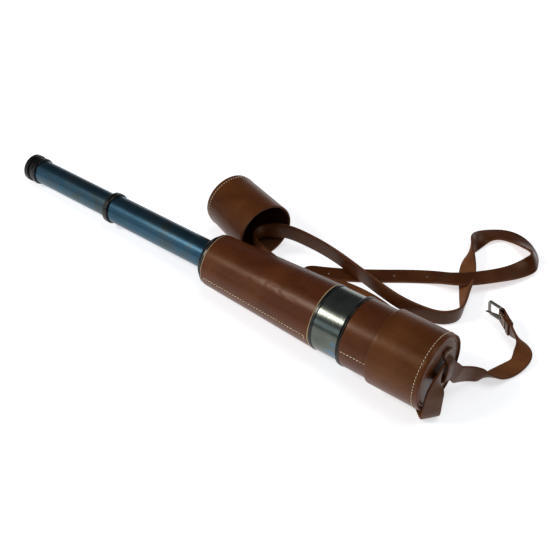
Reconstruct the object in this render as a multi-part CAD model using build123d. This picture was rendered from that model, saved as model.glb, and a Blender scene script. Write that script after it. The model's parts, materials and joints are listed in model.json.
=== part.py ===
from build123d import *
import math
import os

# Two-draw brass telescope with a leather-covered barrel, a sliding sunshade, two leather end caps and
# a buckled leather sling. All sizes are in millimetres. Z is up and the floor is Z = 0.
# The instrument is drawn along its own optical axis (X from the eye end towards the objective) and is
# then laid on the floor, where it rests on the rim of its eyecup and on the sling under the front cap.

# ---- how the instrument lies ----------------------------------------------------------------------
TILT = 2.85                 # the optical axis rises this many degrees towards the objective
EYE_HEIGHT = 13.55          # height of the axis at the eye end
ORIGIN_X = 239.62           # middle of the bounding box, from the eye end
ORIGIN_Y = 31.56            # middle of the bounding box, from the optical axis

# ---- leather barrel -------------------------------------------------------------------------------
BARREL_REAR = 245.0
BARREL_FRONT = 366.0
LEATHER_REAR_R = 25.1
LEATHER_FRONT_R = 30.0
LEATHER = 1.5
TUBE_WALL = 0.9
COLLAR_REAR = 238.0
COLLAR_R = 21.0
COLLAR_FLANGE_R = 24.0
FRONT_COLLAR_R = 29.6
FRONT_COLLAR_LENGTH = 3.0
FRONT_COLLAR_CORNER = 0.4
GUIDE_SEAT_R = 15.6         # the rear collar's bore, which the second draw's guide sits in
GUIDE_FRONT = 268.0
GUIDE_FRONT_R = 14.6

# ---- draw tubes -----------------------------------------------------------------------------------
DRAW_2_R = 13.3
DRAW_1_R = 11.7
DRAW_WALL = 0.7
DRAW_2_REAR = 112.0         # rear face of the collar of the second draw
DRAW_2_END = 275.0
DRAW_1_END = 150.0
DRAW_2_STOP_R = 15.3
DRAW_1_STOP_REAR = 140.5
DRAW_1_STOP_LENGTH = 4.0
ERECTOR_REAR = 66.0
ERECTOR_WALL = 0.8
ERECTOR_STOP_X = 104.0
ERECTOR_STOP_R = 2.2
ERECTOR_CURVE = 60.0        # curve radius of both faces of both erector lenses
RUNNING = 0.05              # radial clearance of a running fit
AIR = 0.3                   # radial air between parts that slide without guiding each other

# ---- eyepiece -------------------------------------------------------------------------------------
EYECUP_R = 13.5
EYE_RING_R = 13.2
EYE_HOLE_R = 4.5
EYE_CUP_BOTTOM_R = 8.0
EYEPIECE_R = 9.8
EYE_LENS_R = 8.6
EYEPIECE_END = 44.0
EYE_NECK_R = 12.1
FLAT_CURVE = 400.0          # curve radius of the nearly flat faces of the eyepiece's lenses

# ---- objective end --------------------------------------------------------------------------------
OBJECTIVE_TUBE_R = 29.0
OBJECTIVE_TUBE_WALL = 1.0
OBJECTIVE_TUBE_END = 434.0
LENS_R = 25.0
CELL_REAR = 418.0           # rear face of the objective's cell, which the two lenses and their ring sit in
CELL_LIP_R = 23.5
LENS_RING_R = 23.6
BAFFLE_REAR = 404.0
BAFFLE_THICK = 1.2
BAFFLE_R = 20.5
SHADE_REAR = 394.0
SHADE_FRONT = 469.0
SHADE_RING_R = 31.2
SHADE_LEATHER_R = 31.2
SHADE_TUBE_R = 30.1
SHADE_RING_LENGTH = 3.6
SHADE_GUIDE_LENGTH = 8.3

# ---- leather caps ---------------------------------------------------------------------------------
FRONT_CAP_MOUTH = 424.0
FRONT_CAP_END = 473.0
FRONT_CAP_R = 33.4
FRONT_CAP_WALL = 1.9
EYE_CAP_MOUTH_R = 28.0
EYE_CAP_END_R = 26.4
EYE_CAP_WALL = 2.0
EYE_CAP_LENGTH = 60.0
EYE_CAP_MOUTH_X = 256.0
EYE_CAP_MOUTH_Y = 54.0
EYE_CAP_TURN = -17.0        # heading of the loose cap's mouth
CAP_DISC = 2.2
DISC_INSET = 1.2            # how far a cap's end disc sits inside its wall
FRONT_BRIDGE_RISE = 8.2
EYE_BRIDGE_RISE = 5.6
EYE_BRIDGE_LONG = 38.0
BRIDGE_THICK = 2.0
BRIDGE_FOOT = 7.0
BRIDGE_LONG = 35.0          # the front cap's bridge, which is sewn on off the middle and askew
BRIDGE_WIDE = 11.0
BRIDGE_OFF = 5.5
BRIDGE_UP = 1.0
BRIDGE_LEAN = 18.0

# ---- sling ----------------------------------------------------------------------------------------
STRAP_WIDTH = 16.0
STRAP_THICK = 2.2
SECTION_STEP = 7.0          # spacing of the sections that the sling's solids are lofted through

# ---- buckle ---------------------------------------------------------------------------------------
# The buckle stands on its long side. Its frame is swung a little about its bar, and its tongue stands
# off the frame. A heading runs from the bar towards the frame's far side, a face is the grain side's way.
BUCKLE_LENGTH = 15.0
BUCKLE_WIDTH = 19.0
BUCKLE_WIRE = 2.0
BUCKLE_CORNER = 3.0
BAR_R = 0.9
BAR_ROOM = 6.0              # how much of the frame's inside is kept square for the strap's fold
BAR_PLACE = (471.6, 110.7, 11.2)
CHAPE_HEADING = (-0.8126, 0.5747, 0.0971)
CHAPE_FACE = (-0.5821, -0.7919, -0.1843)
FRAME_HEADING = (-0.9902, 0.14, 0.0001)
FRAME_FACE = (-0.137, -0.9684, -0.2083)
TONGUE_OPEN = 15.0          # degrees that the tongue stands off the frame
TONGUE_R = 0.8
CHAPE_WIDTH = 14.4
CHAPE_SKIN = 1.4
CHAPE_TAIL = 11.0
SLING_KEEPER_BACK = 14.5    # distance of the keeper loop behind the bar
SLING_KEEPER_LENGTH = 5.0
SLING_KEEPER_OUT = (18.4, 5.6)
SLING_KEEPER_IN = (16.6, 3.4)
TONGUE_SLOT = 3.4
TONGUE_EYE = 2.4

# Middle line of the sling: (x, y, z) from the eye end's foot, and the way its grain side faces.
GRAIN_UP = (0, 0, 1)
FLESH_UP = (0, 0, -1)
SHORT_END = [
    ((474.6, 5.5, 38), (1, 0, 0.05)),
    ((474.6, 15.2, 34.9), (1, 0, 0.05)),
    ((478.7, 17.6, 22.8), (1, -0.1, 0)),
    ((480.7, 27.8, 16), (0.95, -0.3, 0)),
    ((484.4, 36.6, 10.6), (0.85, -0.5, 0)),
    ((490.3, 41.4, 8.75), (0.8, -0.6, -0.05)),
    ((494.6, 44.7, 7.25), (0.6, -0.45, -0.65)),
    ((499, 53.9, 3.55), (0.2, -0.15, -0.97)),
    ((503.9, 66.6, 1.35), FLESH_UP),
    ((507.7, 76.9, 3), (0.3, 0.1, -0.95)),
    ((506.7, 84.9, 4.5), (0.1, -0.15, -0.98)),
    ((503.6, 91.6, 6.5), (-0.2, -0.35, -0.9)),
    ((497.6, 96.2, 8.4), (-0.45, -0.6, -0.6)),
    ((487, 99.8, 9.4), (-0.58, -0.79, -0.18)),
    ((482.2, 103.2, 9.9), (-0.58, -0.79, -0.18)),
    ((477.3, 106.7, 10.5), (-0.58, -0.79, -0.18)),
    ((474, 109, 10.9), (-0.58, -0.79, -0.18)),
]
LONG_END = [
    ((474.6, 5.5, 38), (1, 0, 0.05)),
    ((474.8, -1.2, 40.1), (1, 0, 0.05)),
    ((476.6, -7.6, 41.6), (0.98, -0.15, 0.05)),
    ((478.6, -13.6, 40.6), (0.9, -0.42, 0.05)),
    ((479.4, -17, 33), (0.8, -0.6, 0)),
    ((479.5, -18, 20), (0.78, -0.62, 0)),
    ((479.8, -18.4, 8.5), (0.78, -0.62, 0)),
    ((477.9, -16.4, 1.7), (0.5, -0.4, -0.75)),
    ((469, -9, 1.2), FLESH_UP),
    ((469, -9, 1.4), FLESH_UP),
    ((448, 12.5, 1.2), FLESH_UP),
    ((432, 30.5, 1.4), FLESH_UP),
    ((415, 46.5, 1.2), FLESH_UP),
    ((395, 58, 1.2), FLESH_UP),
    ((373, 62.5, 1.5), FLESH_UP),
    ((353, 60.5, 3), (0, 0.2, -0.98)),
    ((336, 52.5, 6.75), (-0.2, 0.65, -0.7)),
    ((318, 45, 8.9), (-0.3, 0.95, -0.15)),
    ((298, 41.5, 8.6), (-0.1, 1, 0)),
    ((280, 42, 9.9), (0, 1, 0)),
    ((264, 43.5, 12), (0.1, 1, 0)),
    ((252, 46.2, 12.6), (0.3, 0.95, 0)),
    ((243.5, 50.5, 12.2), (0.6, 0.8, 0)),
    ((240, 57.5, 12.2), (1, 0, 0)),
    ((242.5, 64.8, 14.6), (0.8, -0.6, 0)),
    ((249.5, 68.6, 17), (0.35, -0.94, 0)),
    ((261, 71.8, 20.6), (0.25, -0.97, 0)),
    ((273, 76.2, 19.4), (0.3, -0.95, 0)),
    ((286, 80.8, 15.2), (0.2, -0.98, 0)),
    ((302, 83.6, 11.8), (0, -1, 0)),
    ((322, 81.6, 11.3), (-0.15, -0.98, 0)),
    ((347, 76.8, 11.2), (-0.2, -0.98, 0)),
    ((372, 71.6, 11.2), (-0.15, -0.98, 0)),
    ((394, 68.4, 11.2), (0, -1, 0)),
    ((414, 70.5, 10.2), (0.05, -1, 0)),
    ((431, 75.6, 9.2), (0.25, -0.97, 0)),
    ((440.6, 86.5, 8.8), (0.75, -0.66, 0)),
    ((441.4, 95.5, 8.7), (0.95, -0.3, -0.05)),
    ((439, 102.7, 8.7), (0.88, 0.1, -0.15)),
    ((433.9, 112.8, 8.15), (0.75, 0.5, -0.4)),
    ((428.1, 126, 7.25), (0.6, 0.45, -0.65)),
    ((421.7, 139, 4.25), (0.3, 0.2, -0.93)),
    ((417.5, 147.2, 4.65), (0.32, 0.22, -0.92)),
    ((411.6, 158.5, 7.05), (0.65, 0.45, -0.6)),
    ((407.3, 168, 8.85), (0.85, 0.45, -0.1)),
    ((404.7, 184.4, 7.1), (0.6, 0.45, 0.65)),
    ((406.6, 198.9, 4.5), (0.1, 0.25, 0.96)),
    ((414.7, 209.9, 2.7), (-0.1, 0.12, 0.98)),
    ((425.4, 214.5, 2.7), (0, 0.1, 0.99)),
    ((439.4, 212, 4.3), (0.25, 0.15, 0.95)),
    ((454.3, 202.9, 6.6), (0.55, 0.35, 0.75)),
    ((461.4, 193.8, 8.7), (0.8, 0.45, 0.35)),
    ((460.4, 184.6, 6.9), (0.55, 0.1, 0.8)),
    ((452.9, 169.5, 6), (0.15, -0.05, 1)),
    ((443.8, 153.5, 8.5), GRAIN_UP),
    ((429.2, 134.4, 10.45), GRAIN_UP),
    ((418.6, 125.1, 10.8), GRAIN_UP),
    ((396, 122.5, 1.9), GRAIN_UP),
    ((376, 109, 1.4), GRAIN_UP),
    ((356, 93.5, 1.3), GRAIN_UP),
    ((334, 77.5, 1.3), GRAIN_UP),
    ((313, 64.5, 1.3), GRAIN_UP),
    ((296, 56, 1.3), GRAIN_UP),
]
# Stretches of the long end that are nodes of their own, as shares of its length.
TURN_SHARE = 0.066
UNDER_CAP_SHARE = 0.104

ALONG_AXIS = Rot(0, 90, 0)
LAY = Pos(0, 0, EYE_HEIGHT) * Rot(0, -TILT, 0)


def turned(*outline):
    """A solid of revolution about the optical axis, from (x, radius) corners."""
    face = make_face(Polyline(*[(x, 0, r) for x, r in outline], close=True))
    return revolve(face, Axis.X)


def ring(x0, x1, r_in, r_out):
    return turned((x0, r_in), (x1, r_in), (x1, r_out), (x0, r_out))


def bead(x, r_seat, r_bead, half):
    """A rounded bead ring whose crest is at r_bead."""
    mid = (x, 0, r_bead)
    lower = Polyline((x + half, 0, r_bead - half), (x + half, 0, r_seat), (x - half, 0, r_seat),
                     (x - half, 0, r_bead - half))
    crest = ThreePointArc((x - half, 0, r_bead - half), mid, (x + half, 0, r_bead - half))
    return revolve(make_face(lower + crest), Axis.X)


def lens(rear, front, radius, rear_curve, front_curve):
    """A glass disc between two apexes on the axis. A positive curve radius bulges outwards."""
    def hollow(curve):
        return 0 if curve > 0 else -curve - math.sqrt(curve ** 2 - radius ** 2)

    x0, x1 = rear - hollow(rear_curve), front + hollow(front_curve)
    disc = Pos((x0 + x1) / 2, 0, 0) * ALONG_AXIS * Cylinder(radius, x1 - x0)
    front_ball = Pos(front - front_curve, 0, 0) * Sphere(abs(front_curve))
    rear_ball = Pos(rear + rear_curve, 0, 0) * Sphere(abs(rear_curve))
    disc = disc & front_ball if front_curve > 0 else disc - front_ball
    return disc & rear_ball if rear_curve > 0 else disc - rear_ball


# ---- barrel ---------------------------------------------------------------------------------------
def barrel_parts():
    x0, x1 = BARREL_REAR, BARREL_FRONT
    r0, r1 = LEATHER_REAR_R - LEATHER, LEATHER_FRONT_R - LEATHER
    collar_seat = r0 - TUBE_WALL
    parts = {}
    parts["body_tube"] = turned((x0, r0 - TUBE_WALL), (x1, r1 - TUBE_WALL), (x1, r1), (x0, r0))
    parts["body_leather"] = turned((x0, r0), (x1, r1), (x1, LEATHER_FRONT_R), (x0, LEATHER_REAR_R))
    parts["rear_collar"] = turned(
        (COLLAR_REAR, GUIDE_SEAT_R), (x0 + 7, GUIDE_SEAT_R),
        (x0 + 7, collar_seat - 0.1), (x0, collar_seat - 0.1),
        (x0, COLLAR_FLANGE_R), (x0 - 2.2, COLLAR_FLANGE_R), (x0 - 2.9, COLLAR_FLANGE_R - 0.8),
        (x0 - 2.9, COLLAR_R + 0.6), (COLLAR_REAR + 0.8, COLLAR_R), (COLLAR_REAR, COLLAR_R - 0.8))
    bore = DRAW_2_R + RUNNING
    parts["draw_2_guide"] = turned(
        (COLLAR_REAR, bore), (GUIDE_FRONT, bore), (GUIDE_FRONT, GUIDE_FRONT_R), (x0 + 7.5, GUIDE_FRONT_R),
        (x0 + 7.5, GUIDE_SEAT_R), (COLLAR_REAR, GUIDE_SEAT_R))
    tube_in = OBJECTIVE_TUBE_R - OBJECTIVE_TUBE_WALL
    x2 = x1 + FRONT_COLLAR_LENGTH
    corner = FRONT_COLLAR_CORNER
    parts["front_collar"] = turned(
        (x1, r1 - TUBE_WALL), (x2, tube_in), (x2, FRONT_COLLAR_R - corner),
        (x2 - corner, FRONT_COLLAR_R), (x1 + corner, FRONT_COLLAR_R), (x1, FRONT_COLLAR_R - corner))
    parts["objective_tube"] = ring(x2, OBJECTIVE_TUBE_END, tube_in, OBJECTIVE_TUBE_R)
    parts["body_baffle"] = ring(BAFFLE_REAR, BAFFLE_REAR + BAFFLE_THICK, BAFFLE_R, tube_in)
    cell_x = CELL_REAR
    parts["objective_cell"] = turned(
        (cell_x, CELL_LIP_R), (cell_x + 2, CELL_LIP_R), (cell_x + 2, LENS_R), (OBJECTIVE_TUBE_END, LENS_R),
        (OBJECTIVE_TUBE_END, tube_in), (cell_x, tube_in))
    parts["flint_lens"] = lens(cell_x + 3.2, cell_x + 5.9, LENS_R, -400.0, -92.0)
    parts["crown_lens"] = lens(cell_x + 6.0, cell_x + 12.2, LENS_R, 92.0, 160.0)
    parts["lens_ring"] = ring(cell_x + 12.6, cell_x + 14.8, LENS_RING_R, LENS_R)
    return parts


# ---- second draw ----------------------------------------------------------------------------------
def draw_2_parts():
    r_in = DRAW_2_R - DRAW_WALL
    x0 = DRAW_2_REAR
    bore = DRAW_1_R + RUNNING
    parts = {}
    parts["draw_tube_2"] = ring(x0 + 2, DRAW_2_END, r_in, DRAW_2_R)
    parts["draw_2_collar"] = turned(
        (x0, bore), (x0 + 2, bore), (x0 + 2, DRAW_2_R), (x0 + 6, DRAW_2_R), (x0 + 6, 14.4),
        (x0 + 5.2, 15.0), (x0 + 1, 15.0), (x0, 14.2))
    parts["draw_1_guide"] = ring(x0 + 2, x0 + 28, bore, r_in)
    parts["draw_2_stop"] = ring(DRAW_2_END - 6.5, DRAW_2_END - 1.5, DRAW_2_R, DRAW_2_STOP_R)
    return parts


# ---- first draw, with the erector and the eyepiece --------------------------------------------------
def draw_1_parts():
    r_in = DRAW_1_R - DRAW_WALL
    erector_in = r_in - ERECTOR_WALL
    curve = ERECTOR_CURVE
    parts = {}
    parts["draw_tube_1"] = ring(13, DRAW_1_END, r_in, DRAW_1_R)
    parts["draw_1_stop"] = ring(DRAW_1_STOP_REAR, DRAW_1_STOP_REAR + DRAW_1_STOP_LENGTH, DRAW_1_R,
                                DRAW_2_R - DRAW_WALL - AIR)
    parts["erector_tube"] = ring(ERECTOR_REAR, DRAW_1_END, erector_in, r_in)
    parts["erector_lens_rear"] = lens(ERECTOR_REAR + 2.5, ERECTOR_REAR + 5.5, erector_in, curve, curve)
    parts["erector_stop"] = ring(ERECTOR_STOP_X, ERECTOR_STOP_X + 1, ERECTOR_STOP_R, erector_in)
    parts["erector_lens_front"] = lens(DRAW_1_END - 7.5, DRAW_1_END - 4.5, erector_in, curve, curve)
    parts["eyepiece_tube"] = turned(
        (5, EYE_LENS_R), (EYEPIECE_END, EYE_LENS_R), (EYEPIECE_END, r_in), (13, r_in), (13, EYEPIECE_R),
        (5, EYEPIECE_R))
    parts["field_lens"] = lens(EYEPIECE_END - 7.7, EYEPIECE_END - 4.3, EYE_LENS_R, FLAT_CURVE, 28.0)
    parts["eye_lens"] = lens(10.7, 13.3, EYE_LENS_R, 24.0, FLAT_CURVE)
    parts["eyecup"] = turned(
        (2.2, EYE_HOLE_R), (3.2, EYE_HOLE_R), (5, EYE_CUP_BOTTOM_R), (5, EYEPIECE_R), (9, EYEPIECE_R),
        (9, EYE_NECK_R), (5.6, EYE_NECK_R),
        (5.2, EYECUP_R), (1.0, EYECUP_R), (0.2, EYECUP_R - 0.6), (0, EYECUP_R - 1.2),
        (0, EYECUP_R - 2.0), (1.6, EYE_CUP_BOTTOM_R))
    parts["eye_ring"] = turned(
        (9, EYEPIECE_R), (13, EYEPIECE_R), (13, DRAW_1_R), (15, DRAW_1_R), (15, EYE_RING_R - 0.6),
        (14.4, EYE_RING_R), (11.6, EYE_RING_R), (11, EYE_RING_R - 0.8), (9, EYE_NECK_R))
    return parts


# ---- sunshade -------------------------------------------------------------------------------------
def sunshade_parts():
    r_in = OBJECTIVE_TUBE_R + AIR
    tube_r = SHADE_TUBE_R
    skin_x = SHADE_REAR + SHADE_RING_LENGTH
    x0, x1 = SHADE_REAR, SHADE_FRONT
    parts = {}
    parts["sunshade_tube"] = ring(skin_x, x1, r_in, tube_r)
    parts["sunshade_guide"] = ring(skin_x + 0.1, skin_x + 0.1 + SHADE_GUIDE_LENGTH,
                                   OBJECTIVE_TUBE_R + RUNNING, r_in)
    collar = ring(x0, skin_x, r_in, SHADE_RING_R - 0.9)
    parts["sunshade_rear_ring"] = (collar + bead(x0 + 0.9, r_in, SHADE_RING_R, 0.85)
                                   + bead(x0 + 2.7, r_in, SHADE_RING_R + 0.2, 0.85))
    parts["sunshade_leather"] = ring(skin_x, x1 - 2, tube_r, SHADE_LEATHER_R)
    parts["sunshade_front_ring"] = ring(x1 - 2, x1, tube_r, SHADE_LEATHER_R + 0.1)
    return parts


# ---- leather cap on the objective end ---------------------------------------------------------------
def bridge(x, length, width, rise):
    """A leather keeper sewn on a cap's end at its two feet, which the sling passes under."""
    thick = BRIDGE_THICK
    half = length / 2
    corner = half - BRIDGE_FOOT
    outer = [(0, -half), (thick, -half), (thick, -corner - 1), (rise, -corner + 2), (rise, corner - 2),
             (thick, corner + 1), (thick, half), (0, half)]
    inner = [(0, corner), (rise - thick, corner - 2.6), (rise - thick, -corner + 2.6), (0, -corner)]
    face = make_face(Polyline(*[(x + a, 0, b) for a, b in outer + inner], close=True))
    return extrude(face, width / 2, dir=(0, 1, 0), both=True)


def front_cap_parts():
    x0, x1 = FRONT_CAP_MOUTH, FRONT_CAP_END
    r_in = FRONT_CAP_R - FRONT_CAP_WALL
    inset = DISC_INSET
    parts = {}
    parts["front_cap_wall"] = turned((x0, r_in), (x1, r_in), (x1, FRONT_CAP_R - 0.9), (x1 - 0.9, FRONT_CAP_R),
                  (x0 + 0.6, FRONT_CAP_R), (x0, FRONT_CAP_R - 0.6))
    parts["front_cap_end"] = Pos(x1 - inset - CAP_DISC / 2, 0, 0) * ALONG_AXIS * Cylinder(r_in, CAP_DISC)
    askew = Pos(0, BRIDGE_OFF, BRIDGE_UP) * Rot(-BRIDGE_LEAN, 0, 0)
    parts["front_cap_bridge"] = askew * bridge(x1 - inset, BRIDGE_LONG, BRIDGE_WIDE, FRONT_BRIDGE_RISE)
    return parts


# ---- loose leather cap of the eye end ---------------------------------------------------------------
def eye_cap_parts():
    """Drawn with its mouth at X = 0, opening towards +X, then laid on its side."""
    length, wall = EYE_CAP_LENGTH, EYE_CAP_WALL
    mouth_r, end_r = EYE_CAP_MOUTH_R, EYE_CAP_END_R
    slope = math.degrees(math.atan((mouth_r - end_r) / length))
    lie = (Pos(EYE_CAP_MOUTH_X, EYE_CAP_MOUTH_Y, mouth_r + 0.05) * Rot(0, 0, EYE_CAP_TURN) * Rot(0, -slope, 0))
    shell = turned((0, mouth_r - wall), (0, mouth_r - 0.6), (-0.6, mouth_r), (-length + 0.9, end_r),
                   (-length, end_r - 0.9), (-length, end_r - wall))
    inset = DISC_INSET
    disc = Pos(-length + inset + CAP_DISC / 2, 0, 0) * ALONG_AXIS * Cylinder(end_r - wall, CAP_DISC)
    strip = bridge(0, EYE_BRIDGE_LONG, BRIDGE_WIDE, EYE_BRIDGE_RISE)
    keeper = Pos(-length + inset, 0, 0) * Rot(0, 180, 0) * strip
    return {
        "eye_cap_wall": lie * shell,
        "eye_cap_end": lie * disc,
        "eye_cap_bridge": lie * keeper,
    }


# ---- sling ----------------------------------------------------------------------------------------
def bend_radii(points):
    """The largest even radius that each corner's shorter run allows."""
    radii = []
    for before, here, after in zip(points, points[1:], points[2:]):
        a, b = Vector(*here) - Vector(*before), Vector(*after) - Vector(*here)
        turn = math.radians(a.get_angle(b))
        radii.append(0.45 * min(a.length, b.length) / math.tan(turn / 2))
    return radii


def faces_along(route):
    """Strap cross-sections along a route, each square to the path with its grain side facing as told."""
    points = [point for point, _ in route]
    sides = [Vector(*side) for _, side in route]
    radii = bend_radii(points)
    print("bend radii mm:", [round(r, 1) for r in radii])
    path = FilletPolyline(*points, radius=radii)
    reach = [0.0]
    for a, b in zip(points, points[1:]):
        reach.append(reach[-1] + (Vector(*b) - Vector(*a)).length)
    count = round(path.length / SECTION_STEP)
    faces = []
    for i in range(count + 1):
        share = i / count
        travelled = share * reach[-1]
        k = max(j for j in range(len(reach) - 1) if reach[j] <= travelled)
        part = (travelled - reach[k]) / (reach[k + 1] - reach[k])
        side = sides[k] * (1 - part) + sides[k + 1] * part
        along = path % share
        across = side.cross(along).normalized()
        section = Plane(origin=path @ share, x_dir=across, z_dir=along)
        faces.append(section * Rectangle(STRAP_WIDTH, STRAP_THICK))
    print("length mm:", round(path.length, 1))
    return faces


def strap(faces):
    return loft([f.face() for f in faces], ruled=True)


def sling_parts():
    short = faces_along(SHORT_END)
    long = faces_along(LONG_END)
    turn_end = round(TURN_SHARE * (len(long) - 1))
    under_end = round(UNDER_CAP_SHARE * (len(long) - 1))
    return {
        "sling_buckle_end": strap(short),
        "sling_front_turn": strap(long[:turn_end + 1]),
        "sling_under_cap": strap(long[turn_end:under_end + 1]),
        "sling_long_end": strap(long[under_end:]),
    }


# ---- buckle ---------------------------------------------------------------------------------------
def buckle_parts():
    """Drawn with its bar on the Y axis and the frame towards +X, then stood at the end of the sling."""
    frame_lie = Plane(origin=BAR_PLACE, x_dir=FRAME_HEADING, z_dir=FRAME_FACE).location
    chape_lie = Plane(origin=BAR_PLACE, x_dir=CHAPE_HEADING, z_dir=CHAPE_FACE).location
    across = Rot(90, 0, 0)
    wire = BUCKLE_WIRE
    inner_width = BUCKLE_WIDTH - 2 * wire
    middle = Pos(BUCKLE_LENGTH / 2 - wire / 2, 0)
    outer = middle * RectangleRounded(BUCKLE_LENGTH, BUCKLE_WIDTH, BUCKLE_CORNER)
    inner = middle * RectangleRounded(BUCKLE_LENGTH - 2 * wire, inner_width, BUCKLE_CORNER / 2)
    frame = extrude(outer - inner, wire / 2, both=True)
    frame = frame - Box(BAR_ROOM, inner_width, wire + 1)
    bar = across * Cylinder(BAR_R, inner_width + 1.0)
    loop_r = BAR_R + RUNNING
    eye = across * (Cylinder(loop_r + 0.9, TONGUE_EYE) - Cylinder(loop_r, TONGUE_EYE))
    reach = BUCKLE_LENGTH - wire
    prong_height = wire / 2 + TONGUE_R + 0.1
    prong = Pos(reach / 2, 0, prong_height) * ALONG_AXIS * Cylinder(TONGUE_R, reach + 1.4)
    tongue = Rot(0, -TONGUE_OPEN, 0) * (eye + prong)
    fold_r = BAR_R + 0.35
    fold = across * (Cylinder(fold_r + CHAPE_SKIN, CHAPE_WIDTH) - Cylinder(fold_r, CHAPE_WIDTH))
    fold = fold - Pos(-5, 0, 0) * Box(10, 20, 10)
    layer = Box(CHAPE_TAIL, CHAPE_WIDTH, CHAPE_SKIN)
    layer_height = fold_r + CHAPE_SKIN / 2
    tail = Pos(-CHAPE_TAIL / 2, 0, layer_height) * layer + Pos(-CHAPE_TAIL / 2, 0, -layer_height) * layer
    tongue_slot = Pos(0.5, 0, 0) * Box(8, TONGUE_SLOT, 12)
    chape = fold + tail - tongue_slot
    loop = Box(SLING_KEEPER_LENGTH, *SLING_KEEPER_OUT) - Box(SLING_KEEPER_LENGTH + 1, *SLING_KEEPER_IN)
    keeper = Pos(-SLING_KEEPER_BACK, 0, 0) * loop
    return {
        "buckle_frame": frame_lie * (frame + bar),
        "buckle_tongue": frame_lie * tongue,
        "sling_chape": chape_lie * chape,
        "sling_keeper": chape_lie * keeper,
    }


def main():
    os.makedirs("parts", exist_ok=True)
    laid = {}
    for group in (barrel_parts, draw_2_parts, draw_1_parts, sunshade_parts, front_cap_parts):
        laid.update({name: LAY * shape for name, shape in group().items()})
    for group in (eye_cap_parts, sling_parts, buckle_parts):
        laid.update(group())
    to_origin = Pos(-ORIGIN_X, -ORIGIN_Y, 0)
    for name, shape in laid.items():
        export_step(to_origin * shape, f"parts/{name}.step")


main()
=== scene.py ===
import bpy
import json
import math
from mathutils import Matrix, Vector, noise


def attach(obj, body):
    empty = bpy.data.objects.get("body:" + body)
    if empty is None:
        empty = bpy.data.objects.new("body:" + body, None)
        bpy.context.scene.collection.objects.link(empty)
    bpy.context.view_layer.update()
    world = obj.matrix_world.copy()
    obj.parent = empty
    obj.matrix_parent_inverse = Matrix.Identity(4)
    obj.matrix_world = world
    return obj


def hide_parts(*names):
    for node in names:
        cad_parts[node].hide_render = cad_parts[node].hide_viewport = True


# The brass telescope's looks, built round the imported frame. Lengths are in metres in the row's frame.
# Turned shells are drawn in millimetres along their own axis, as (x, radius) outlines.

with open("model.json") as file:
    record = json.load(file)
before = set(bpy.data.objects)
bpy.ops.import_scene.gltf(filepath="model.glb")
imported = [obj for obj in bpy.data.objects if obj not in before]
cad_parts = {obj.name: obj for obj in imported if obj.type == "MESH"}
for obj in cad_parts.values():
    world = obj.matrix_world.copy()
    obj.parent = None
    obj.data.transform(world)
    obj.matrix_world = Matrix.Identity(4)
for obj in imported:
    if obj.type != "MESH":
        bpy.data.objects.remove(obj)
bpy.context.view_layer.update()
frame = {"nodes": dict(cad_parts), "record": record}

# ---- places, from the frame -------------------------------------------------------------------------
MM = 0.001
record = frame["record"]
joints = {joint["name"]: joint for joint in record["behaviour"]["joints"]}
rim = next(mount for mount in record["mounts"] if mount["name"] == "eyecup_rim")
RIM_FROM_EYE = 0.0031                     # the rim mount's distance from the eye end
UP = Vector((0, 0, 1))
AXIS = Vector(joints["draw_2_slide"]["axis"]).normalized()
EYE = Vector(rim["pos_m"]) - AXIS * RIM_FROM_EYE
FOOT = Vector((EYE.x, EYE.y, 0))          # the floor right under the eye end


def placed(origin, x_axis, y_axis):
    """A local frame whose X is a turning axis and whose Z is the top of what lies there."""
    z_axis = x_axis.cross(y_axis)
    matrix = Matrix((x_axis, y_axis, z_axis)).transposed().to_4x4()
    matrix.translation = origin
    return matrix


INSTRUMENT = placed(EYE, AXIS, Vector((0, 1, 0)))

# The loose cap of the eye end lies on its side, with its mouth towards the barrel's front.
CAP_MOUTH_R, CAP_END_R, CAP_LENGTH = 28.0, 26.4, 60.0
CAP_PLACE = Vector((0.256, 0.054, (CAP_MOUTH_R + 0.05) * MM))
cap_heading = -Vector(joints["eye_cap_slide"]["axis"]).normalized()
cap_slope = math.atan((CAP_MOUTH_R - CAP_END_R) / CAP_LENGTH)
cap_axis = cap_heading * math.cos(cap_slope) + UP * math.sin(cap_slope)
LOOSE_CAP = placed(FOOT + CAP_PLACE, cap_axis, UP.cross(cap_heading))


# ---- camera -------------------------------------------------------------------------------------------
def aimed(obj, place, target):
    obj.location = place
    obj.rotation_mode = "QUATERNION"
    obj.rotation_quaternion = (target - place).to_track_quat("-Z", "Y")
    bpy.context.scene.collection.objects.link(obj)
    return obj


camera_data = bpy.data.cameras.new("camera")
camera_data.lens = 65.45
camera_data.sensor_width = 36.0
CAMERA = FOOT + Vector((0.6837, -0.4797, 0.6406))
LOOKS_AT = FOOT + Vector((0.3088, 0, 0.0463))
bpy.context.scene.camera = aimed(bpy.data.objects.new("camera", camera_data), CAMERA, LOOKS_AT)

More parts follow.
